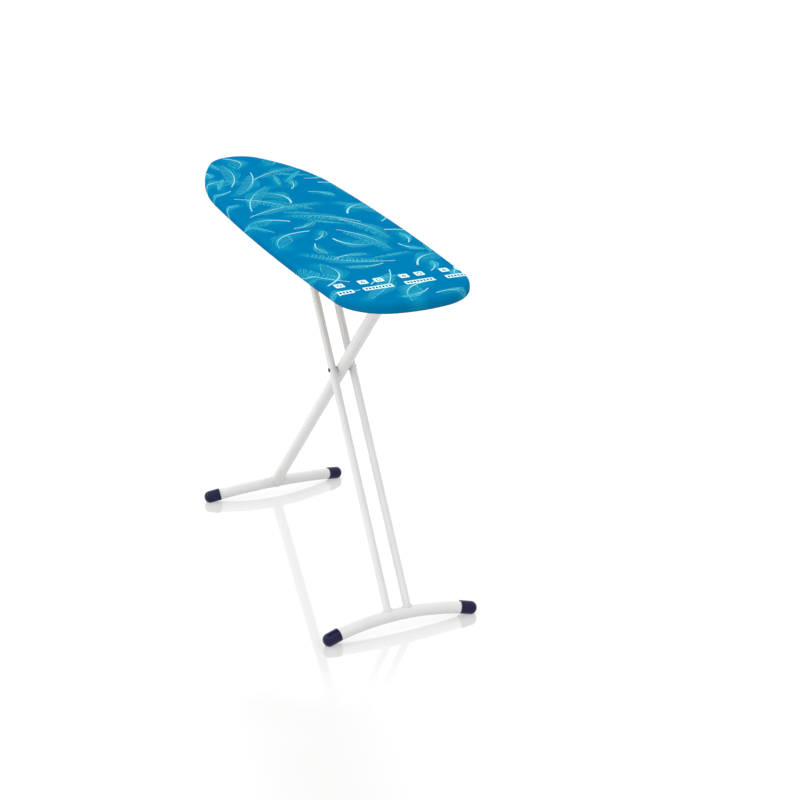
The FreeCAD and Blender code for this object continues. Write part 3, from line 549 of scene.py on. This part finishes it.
def curl(ink, root, along, outward, length, random):
    """A hooked hair that stands on the quill and curls over at its tip."""
    share = np.linspace(0, 1, CURL_POINTS)
    turn = 1.45 + random.uniform(-0.15, 0.15) - 2.6 * np.clip(share - 0.45, 0, 1)
    steps = length / (CURL_POINTS - 1) * (np.cos(turn)[:, None] * along + np.sin(turn)[:, None] * outward)
    line = root + np.concatenate([[np.zeros(2)], np.cumsum(steps[:-1], axis=0)])
    ink.ribbon(line, 1.25 * HAIR_WIDTH * (1 - 0.3 * share), 1.0 - 0.35 * share)


def streaks(ink, kind, quill, inner, random):
    """Brush marks of thin colour that run beside the quill on its outer side."""
    for number in range(KINDS[kind].streaks):
        first = int(QUILL_POINTS * (0.10 + 0.05 * number + random.uniform(0, 0.08)))
        last = int(QUILL_POINTS * (0.96 - 0.05 * number - random.uniform(0, 0.08)))
        if last - first < SHORTEST_STREAK:
            continue
        offset = -(STREAK_START + STREAK_PITCH * number + random.uniform(-0.8, 0.8))
        offset = offset * np.linspace(0.7, 1.25, last - first)
        line = quill[first:last] + inner[first:last] * offset[:, None]
        taper = np.sin(np.linspace(0.15, math.pi - 0.15, last - first)) ** 0.6
        ink.ribbon(line, STREAK_WIDTH * taper, random.uniform(0.0, 0.22), layer=HAZE_LAYER)


def hairs(ink, kind, quill, slope, inner, random):
    """Fine strokes from the quill to the leaf's edge, or curls along a plume."""
    length = np.linalg.norm(np.diff(quill, axis=0), axis=1).sum()
    first, last = KINDS[kind].leaf[:2]
    place = np.linspace(0, 1, len(quill))
    count = int(length * (last - first) / KINDS[kind].hair_pitch)
    for number in range(count):
        share = (number + random.uniform(0.3, 0.7)) / count
        at = first + (last - first) * share
        root, along, outward = (np.array([np.interp(at, place, rows[:, axis]) for axis in (0, 1)])
                                for rows in (quill, slope, inner))
        if kind == "plume":
            curl(ink, root, along, outward, CURL_LENGTH * math.sin(math.pi * share) ** 0.35, random)
            continue
        for side in (1.0, -1.0):
            ahead = np.array([min(1.0, share + random.uniform(0.10, 0.18))])
            tip = leaf_edge(kind, quill, inner, side, ahead)[0]
            middle = (root + tip) / 2 + outward * side * random.uniform(0.5, 2.5)
            line, _ = bow(root, middle, root + (tip - root) * random.uniform(0.7, 1.0), 6)
            ink.ribbon(line, HAIR_WIDTH * 0.8, 0.6 * random.uniform(0.6, 1.0))


def feather(ink, kind, start, middle, end, random):
    """A quill that tapers from its thick end, with the leaf, hairs and brush marks of its kind."""
    quill, slope = bow(start, middle, end, QUILL_POINTS)
    inner = inner_side(slope)
    share = np.linspace(0, 1, QUILL_POINTS)
    streaks(ink, kind, quill, inner, random)
    fill = np.linspace(0, 1, FILL_POINTS)
    edges = [leaf_edge(kind, quill, inner, side, fill) for side in (1.0, -1.0)]
    if kind in ("tuft", "spindle"):
        width = np.linalg.norm(edges[0] - edges[1], axis=1)
        ink.ribbon((edges[0] + edges[1]) / 2, 0.8 * width, FILL_STRENGTH, layer=HAZE_LAYER)
    hairs(ink, kind, quill, slope, inner, random)
    dense = np.linspace(0.02, 0.98, EDGE_POINTS)
    for side in (1.0, -1.0):
        if kind != "plume" and not (kind == "crescent" and side < 0):
            dashes(ink, leaf_edge(kind, quill, inner, side, dense), EDGE_WIDTH, 0.95, random)
    if kind == "spindle":
        ink.ribbon(quill, KINDS[kind].quill_width, 0.5, layer=QUILL_LAYER)
        return
    width = KINDS[kind].quill_width * (1 - share) ** 0.9 + QUILL_TIP
    ink.ribbon(quill, width, 1.0 - 0.3 * share, np.clip(0.9 - 1.1 * share, 0, 0.45), layer=QUILL_LAYER)


TAG_GROUPS = (-165.0, -63.0, 45.0, 153.0)     # the middle of each group of tags, across the board
TAG_X, BAR_X = 499.0, 547.0
TAG_SIZE, TAG_CORNER = (27.0, 23.0), 3.0
DROP_TAG, LEAF_TAG = -20.0, 21.0              # the two tags' places in their group
BAR_SIZE, BAR_CORNER = (22.0, 76.0), 2.0
DOT_COUNT, DOT_PITCH = 8, 8.6
DOT_SIZE, DOT_CORNER = (11.0, 5.2), 1.5
DROP_RADIUS, DROP_SHIFT = 4.0, 2.0
MARK_REACH, LEAF_BOW = 8.0, 5.0
DROP_LINE, LEAF_LINE = 2.2, 2.0
TAG_MARGIN = 2 * MM                           # the tags stop this far in from the outline


def draw_mark(ink, line, width):
    """A dark line on a tag."""
    ink.ribbon(line, width, 0.0, layer=MARK_LAYER, dark=1.0)


def drop_mark(ink, x, y):
    """A ring on a short stem."""
    turn = np.linspace(0, 2 * math.pi, 25)
    ring = np.column_stack([x + DROP_SHIFT + DROP_RADIUS * np.cos(turn), y + DROP_RADIUS * np.sin(turn)])
    draw_mark(ink, ring, DROP_LINE)
    draw_mark(ink, np.array([(x - DROP_SHIFT, y), (x - MARK_REACH, y)]), DROP_LINE)


def leaf_mark(ink, x, y):
    """Two arcs that meet at both ends."""
    for side in (-1, 1):
        arc, _ = bow((x + MARK_REACH, y), (x, y + side * LEAF_BOW), (x - MARK_REACH, y), 12)
        draw_mark(ink, arc, LEAF_LINE)


def care_tags(ink):
    """Groups of small white care-style tags: a drop tag, a leaf tag and a dotted bar, all generic."""
    for y in TAG_GROUPS:
        for offset, mark in ((DROP_TAG, drop_mark), (LEAF_TAG, leaf_mark)):
            ink.panel(TAG_X, y + offset, TAG_SIZE, TAG_CORNER)
            mark(ink, TAG_X, y + offset)
        ink.panel(BAR_X, y, BAR_SIZE, BAR_CORNER)
        for dot in range(DOT_COUNT):
            middle = y + (dot - (DOT_COUNT - 1) / 2) * DOT_PITCH
            ink.panel(BAR_X, middle, DOT_SIZE, DOT_CORNER, DARK_LAYER, 1.0)


def make_print(material):
    """The feathers and the tags as thin ink on the cover."""
    random = np.random.default_rng(7)
    feathers, tags = Ink(), Ink()
    for kind, start, middle, end in FEATHERS:
        feather(feathers, kind, start, middle, end, random)
    care_tags(tags)
    down_the_side = EDGE_START - SECTION_LENGTH[PRINT_END]
    for name, ink, limit in (("cover_print", feathers, down_the_side), ("cover_tags", tags, TAG_MARGIN)):
        flat = np.array(ink.points) * MM
        lift = INK_LIFT * np.array(ink.layers)
        faces = keep_on_cloth(flat, ink.faces, limit)
        piece = make_mesh(name, on_cloth(flat, lift), faces, material, "board")
        paint(piece, ink.colours)


def keep_on_cloth(flat, faces, limit):
    """Leave out what would lie past a limit, measured inwards from the outline on the flat cloth."""
    inset, _ = edge_inset(flat)
    return [face for face in faces if min(inset[list(face)]) > limit]


def haze_amount(flat_mm):
    """The soft light cloud that the print leaves round each feather, 0 to 1."""
    total = np.zeros(len(flat_mm))
    for kind, start, middle, end in FEATHERS:
        quill, slope = bow(start, middle, end, HAZE_POINTS)
        reach = KINDS[kind].haze_reach
        cloud = quill[HAZE_SKIP:] + inner_side(slope)[HAZE_SKIP:] * reach * HAZE_OFFSET
        for point in cloud:
            distance = ((flat_mm - point) ** 2).sum(axis=1)
            total = np.maximum(total, np.exp(-distance / (2 * (reach * HAZE_WIDTH) ** 2)))
    return HAZE_STRENGTH * total


FEATHERS = lay_out_feathers()


# ---------------------------------------------------------------- cover and pad
OUTLINE_STEP = 6 * MM
TOP_RINGS = 26
RIM, ROLL_RING = EDGE_START + 18 * MM, EDGE_START + 9 * MM    # the last rings of the flat top
SPINE_BACK, SPINE_FRONT = -470 * MM, 480 * MM
FABRIC_THICKNESS = 0.9 * MM
GATHER_PITCH = 15 * MM
GATHER_HEIGHT = 1.5 * MM
GATHER_WOBBLE = ((23, 0.4), (41, 2.1), (67, 4.0))     # slow waves that shift the gathers: count, phase
ALMOST = 0.999            # the innermost ring stops just short of the middle line
MERGE = 0.01 * MM


def top_ring(points, normals, inset, share):
    """A ring of the flat top, drawn from an inset outline towards the board's middle line."""
    rim = points - normals * inset
    spine = np.column_stack([np.clip(rim[:, 0], SPINE_BACK, SPINE_FRONT), np.zeros(len(rim))])
    return rim + (spine - rim) * share


def hem_wave(points, share, random):
    """The gathers of the hem, deeper towards the elastic and uneven along it."""
    lengths = np.hypot(*(points - np.roll(points, 1, axis=0)).T)
    travel = np.cumsum(lengths)
    total = travel[-1]
    folds = round(total / GATHER_PITCH)
    wobble = sum(random.uniform(0.2, 0.6) * np.sin(2 * math.pi * cycles * travel / total + phase)
                 for cycles, phase in GATHER_WOBBLE)
    return -GATHER_HEIGHT * share * (1 + np.sin(2 * math.pi * folds * travel / total + 1.3 * wobble))


def make_cover(material):
    """The stretched cover: a crowned top, a rolled edge and a gathered hem under the board."""
    points, normals = sample_outline(OUTLINE_STEP)
    random = np.random.default_rng(3)
    rings, painted_shade = [], []
    for share in np.linspace(1, 0, TOP_RINGS)[:-1]:
        flat = top_ring(points, normals, RIM, ALMOST * share)
        rings.append(np.column_stack([flat, crown_height(edge_inset(flat)[0])]))
        painted_shade.append(0.0)
    for inset in (RIM, ROLL_RING):
        flat = points - normals * inset
        rings.append(np.column_stack([flat, crown_height(np.full(len(flat), inset))]))
        painted_shade.append(0.0)
    hem_start = ROLL_POINTS + UNDER_POINTS
    for index, (inset, height) in enumerate(SECTION):
        flat = points - normals * inset
        hem_share = max(0.0, (index - hem_start) / (HEM_POINTS - 1))
        wave = hem_wave(points, hem_share, random) if hem_share else 0.0
        rings.append(np.column_stack([flat, np.full(len(flat), height) + wave]))
        # painted shade: from SHADE_START on, each ring further round the lower side and under the board is
        # darkened more
        painted_shade.append(min(1.0, max(0.0, (index - SHADE_START) / SHADE_POINTS)))
    vertices = np.concatenate(rings)
    faces = ring_faces(len(rings), len(points))
    cover = make_mesh("board_cover", vertices, faces, material, "board")
    haze = haze_amount(vertices[:, :2] / MM)
    # painted shade for each vertex, stored in the green channel beside the print's haze
    shade = np.repeat(painted_shade, len(points))
    paint(cover, np.column_stack([haze, shade, np.zeros(len(haze)), np.ones(len(haze))]))
    close_middle(cover, len(points))
    thickness = cover.modifiers.new("thickness", "SOLIDIFY")
    thickness.thickness = FABRIC_THICKNESS
    thickness.offset = -1
    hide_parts("cover")


def close_middle(piece, count):
    """Merge the innermost ring along the board's middle line into a closed seam-free top."""
    mesh = bmesh.new()
    mesh.from_mesh(piece.data)
    mesh.verts.ensure_lookup_table()
    inner = [mesh.verts[index] for index in range(count)]
    half = count // 2
    pairs = {inner[index]: inner[count - 1 - index] for index in range(half)}
    bmesh.ops.weld_verts(mesh, targetmap=pairs)
    bmesh.ops.remove_doubles(mesh, verts=mesh.verts[:], dist=MERGE)
    bmesh.ops.recalc_face_normals(mesh, faces=mesh.faces[:])
    mesh.to_mesh(piece.data)
    mesh.free()


PAD_RINGS = 9
PAD_RIM = 20 * MM
PAD_TOP_DROP = 1.0 * MM   # the pad's middle lies this far below its box, under the cover
PAD_EDGE = ((20.0, 0.9), (9.0, 1.3), (5.6, 2.6), (3.8, 4.4), (3.2, 6.4))   # inset and drop, mm
PAD_FOOT = (3.2, 8.0)     # insets of the lower edge, mm


def make_pad(material):
    """The felt pad under the cover: a flat slab whose rim follows the rolled edge."""
    points, normals = sample_outline(OUTLINE_STEP)
    low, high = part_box("foam_pad")
    rings = []

    def add_ring(flat, height):
        rings.append(np.column_stack([flat, np.full(len(flat), height)]))

    for share in np.linspace(1, 0, PAD_RINGS)[:-1]:
        add_ring(top_ring(points, normals, PAD_RIM, ALMOST * share), high[2] - PAD_TOP_DROP)
    for inset, drop in PAD_EDGE:
        add_ring(points - normals * inset * MM, high[2] - drop * MM - CROWN)
    for inset in PAD_FOOT:
        add_ring(points - normals * inset * MM, low[2])
    for share in np.linspace(0, 1, PAD_RINGS)[1:]:
        add_ring(top_ring(points, normals, PAD_RIM, ALMOST * share), low[2])
    vertices = np.concatenate(rings)
    count = len(points)
    faces = ring_faces(len(rings), count)
    half = count // 2
    for start in (0, (len(rings) - 1) * count):
        for index in range(half - 1):
            quad = (start + index, start + index + 1, start + count - 2 - index, start + count - 1 - index)
            faces.append(quad if start else quad[::-1])
    pad = make_mesh("felt_pad", vertices, faces, material, "board")
    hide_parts("foam_pad")


def tube_along(name, line, radius, material, body, sides=8):
    """A round tube along a closed line of points."""
    line = np.asarray(line)
    ahead = np.roll(line, -1, axis=0) - np.roll(line, 1, axis=0)
    ahead /= np.linalg.norm(ahead, axis=1, keepdims=True)
    radii = np.broadcast_to(radius, len(line))
    side = np.cross(ahead, (0.0, 0.0, 1.0))
    side /= np.linalg.norm(side, axis=1, keepdims=True) + 1e-9
    up = np.cross(side, ahead)
    vertices = []
    for index, point in enumerate(line):
        for turn in np.linspace(0, 2 * math.pi, sides, endpoint=False):
            offset = math.cos(turn) * side[index] + math.sin(turn) * up[index]
            vertices.append(point + radii[index] * offset)
    faces = []
    for ring in range(len(line)):
        following = (ring + 1) % len(line)
        for index in range(sides):
            after = (index + 1) % sides
            faces.append((ring * sides + index, ring * sides + after,
                          following * sides + after, following * sides + index))
    return make_mesh(name, vertices, faces, material, body)


CORD_RADIUS = 1.6 * MM
CORD_GAP = 2.2 * MM
CORD_SAG = 0.3 * MM
CORD_RIPPLE, RIPPLE_TURN = 0.25 * MM, 1.9


def make_hem_cord(material):
    """The elastic in the hem's casing, which draws the gathers together."""
    points, normals = sample_outline(OUTLINE_STEP)
    low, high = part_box("hem_elastic")
    flat = points - normals * (HEM_END + CORD_GAP)
    ripple = CORD_RIPPLE * np.sin(np.arange(len(flat)) * RIPPLE_TURN)
    line = np.column_stack([flat, np.full(len(flat), (low[2] + high[2]) / 2 - CORD_SAG) + ripple])
    cord = tube_along("hem_elastic_cord", line, CORD_RADIUS, material, "board")
    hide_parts("hem_elastic")


# ---------------------------------------------------------------- weld beads
FOOT_RISE = 29.3 * MM
FOOT_HALF_SPAN = 216.5 * MM
FOOT_TIP_HEIGHT = 12.5 * MM
THICK_RADIUS = 16 * MM
THIN_RADIUS = 10 * MM
TWIN_OFFSET = 28 * MM
BEAD = 2.6 * MM           # radius of the bead
BEAD_POINTS, BEAD_SIDES = 72, 10
BEAD_RIPPLE, BEAD_TURN = 0.12, 1.35


def leg_frame(top):
    """The matrix of a leg's own frame: origin at its top pin, Z up the leg."""
    pivot = Vector(JOINTS["scissor_pivot"]["pos_m"])
    top = Vector(top)
    upward = (top - pivot).normalized()
    across = Vector((0, 1, 0))
    turned = Matrix((across.cross(upward), across, upward)).transposed().to_4x4()
    return Matrix.Translation(top) @ turned


def weld_bead(name, body, top, leg_radius, offset, random):
    """A rippled bead where a leg tube lands on the arched foot bar."""
    placed = leg_frame(top)
    upward = placed.to_3x3() @ Vector((0, 0, 1))
    length = (top[2] - FOOT_TIP_HEIGHT) / upward.z
    arch = (FOOT_HALF_SPAN ** 2 + FOOT_RISE ** 2) / (2 * FOOT_RISE)
    reach = leg_radius + 0.3 * BEAD
    line, radii = [], []
    for index, turn in enumerate(np.linspace(0, 2 * math.pi, BEAD_POINTS, endpoint=False)):
        x = reach * math.cos(turn)
        y = offset + reach * math.sin(turn)
        drop = arch - math.sqrt(arch ** 2 - y ** 2)
        height = FOOT_RISE - length - drop
        height += math.sqrt(max(0.0, THICK_RADIUS ** 2 - min(x, THICK_RADIUS * 0.995) ** 2)) + 0.2 * BEAD
        line.append(placed @ Vector((x, y, height)))
        radii.append(BEAD * (1 + BEAD_RIPPLE * math.sin(index * BEAD_TURN) + random.uniform(-0.05, 0.05)))
    bead = tube_along(name, [tuple(point) for point in line], np.array(radii),
                      MATERIALS["white_steel"], body, sides=BEAD_SIDES)


def make_welds():
    """The beads of both legs; the sizes above are those of the feet and the tubes."""
    random = np.random.default_rng(11)
    hinge = JOINTS["leg_fold"]["pos_m"]
    slider = JOINTS["slider_swivel"]["pos_m"]
    weld_bead("single_leg_weld", "single_leg", hinge, THICK_RADIUS, 0.0, random)
    for side, sign in (("left", 1), ("right", -1)):
        weld_bead(f"twin_leg_weld_{side}", "twin_leg", slider, THIN_RADIUS, sign * TWIN_OFFSET, random)


# ---------------------------------------------------------------- room, light and camera
FLOOR_GREY = 0.28
FLOOR_GLOW = 0.45         # the floor is a lit studio table, so its contact shadows are faint
FLOOR_IOR = 2.5
POLISHED, MATT = 0.03, 0.35               # its roughness near the object and further away,
POLISHED_REACH, MATT_REACH = 0.62, 0.98   # and how far from the middle each is reached, in metres


def make_floor():
    """A plain pale floor that mirrors the feet faintly."""
    bpy.ops.mesh.primitive_plane_add(size=30, location=(0, 0, 0))
    floor = bpy.context.object
    floor.name = "floor"
    material, tree, shader = new_material("pale_floor")
    shade = noise(tree, 0.6, 2.0).outputs["Fac"]
    tree.links.new(ramp(tree, shade, (FLOOR_GREY - 0.005,) * 3, (FLOOR_GREY + 0.005,) * 3),
                   shader.inputs["Base Color"])
    place = object_coordinates(tree)
    reach = add_node(tree, "ShaderNodeVectorMath", {0: place}, operation="LENGTH")
    gloss = add_node(tree, "ShaderNodeMapRange",
                     {"Value": reach.outputs["Value"], "From Min": POLISHED_REACH, "From Max": MATT_REACH,
                      "To Min": POLISHED, "To Max": MATT})
    tree.links.new(gloss.outputs[0], shader.inputs["Roughness"])
    shader.inputs["IOR"].default_value = FLOOR_IOR
    shader.inputs["Emission Color"].default_value = (1.0, 1.0, 1.0, 1)
    shader.inputs["Emission Strength"].default_value = FLOOR_GLOW
    floor.data.materials.append(material)


BRIGHT_SIDE = (-0.21, -0.46, 0.86)
DIM_SKY, BRIGHT_SKY = 0.65, 1.65
SOFTBOX_PLACE, SOFTBOX_TARGET = Vector((-0.6, -3.4, 2.6)), Vector((0, 0, 0.6))
SOFTBOX_SIZE, SOFTBOX_POWER = 0.7, 22


def light_room():
    """A white room, brighter above and to one side, and one softbox."""
    world = bpy.data.worlds.new("studio")
    world.use_nodes = True
    tree = world.node_tree
    direction = add_node(tree, "ShaderNodeTexCoord").outputs["Generated"]
    side = add_node(tree, "ShaderNodeVectorMath", {0: direction, 1: BRIGHT_SIDE}, operation="DOT_PRODUCT")
    strength = add_node(tree, "ShaderNodeMapRange", {"Value": side.outputs["Value"], "From Min": -1.0,
                                                   "To Min": DIM_SKY, "To Max": BRIGHT_SKY})
    tree.links.new(strength.outputs[0], tree.nodes["Background"].inputs["Strength"])
    tree.nodes["Background"].inputs["Color"].default_value = (1.0, 1.0, 1.0, 1)
    bpy.context.scene.world = world
    light = bpy.data.lights.new("softbox", "AREA")
    light.shape = "DISK"
    light.size = SOFTBOX_SIZE
    light.energy = SOFTBOX_POWER
    lamp = bpy.data.objects.new("softbox", light)
    bpy.context.scene.collection.objects.link(lamp)
    lamp.location = SOFTBOX_PLACE
    lamp.rotation_euler = (SOFTBOX_TARGET - SOFTBOX_PLACE).to_track_quat("-Z", "Y").to_euler()


CAMERA_AZIMUTH = math.radians(65.4)
CAMERA_ELEVATION = math.radians(23.2)
CAMERA_DISTANCE = 4.677
CAMERA_TARGET = Vector((0.532, 0.0, 0.642))
CAMERA_LENS = 85.7


def place_camera():
    """The camera that frames the whole board from its wide end."""
    back = Vector((math.sin(CAMERA_AZIMUTH) * math.cos(CAMERA_ELEVATION),
                   -math.cos(CAMERA_AZIMUTH) * math.cos(CAMERA_ELEVATION), math.sin(CAMERA_ELEVATION)))
    data = bpy.data.cameras.new("camera")
    data.lens = CAMERA_LENS
    data.sensor_width = 36
    data.clip_end = 100
    camera = bpy.data.objects.new("camera", data)
    bpy.context.scene.collection.objects.link(camera)
    camera.location = CAMERA_TARGET + back * CAMERA_DISTANCE
    camera.rotation_euler = back.to_track_quat("Z", "Y").to_euler()
    bpy.context.scene.camera = camera


# ---------------------------------------------------------------- put it together
MATERIALS = {
    "white_steel": powder_coat(),
    "navy_plastic": moulded_plastic("navy_gloss", (0.003, 0.003, 0.028), (0.006, 0.005, 0.046),
                                    0.12, 0.03),
    "dark_plastic": moulded_plastic("dark_nylon", (0.012, 0.012, 0.016), (0.028, 0.028, 0.034),
                                    0.42, 0.2),
    "bare_steel": zinc_steel(),
    "dark_steel": zinc_steel("black_oxide", (0.015, 0.015, 0.018), (0.04, 0.04, 0.045)),
    "spring_steel": zinc_steel("spring_wire", (0.25, 0.25, 0.26), (0.45, 0.45, 0.46)),
    "board_wood": particle_board(),
}


def dress_frame():
    """Give every CAD node that stays the material of its slot."""
    slots = {entry["node"]: entry["material_slot"] for entry in frame["record"]["subparts"]}
    for name, piece in frame["nodes"].items():
        material = MATERIALS.get(slots[name])
        if material and piece.data:
            piece.data.materials.clear()
            piece.data.materials.append(material)


bpy.context.scene.view_settings.view_transform = "Standard"
place_camera()
light_room()
make_floor()
dress_frame()
make_pad(felt())
make_cover(printed_cotton())
make_hem_cord(braided_elastic())
make_print(print_ink())
make_welds()
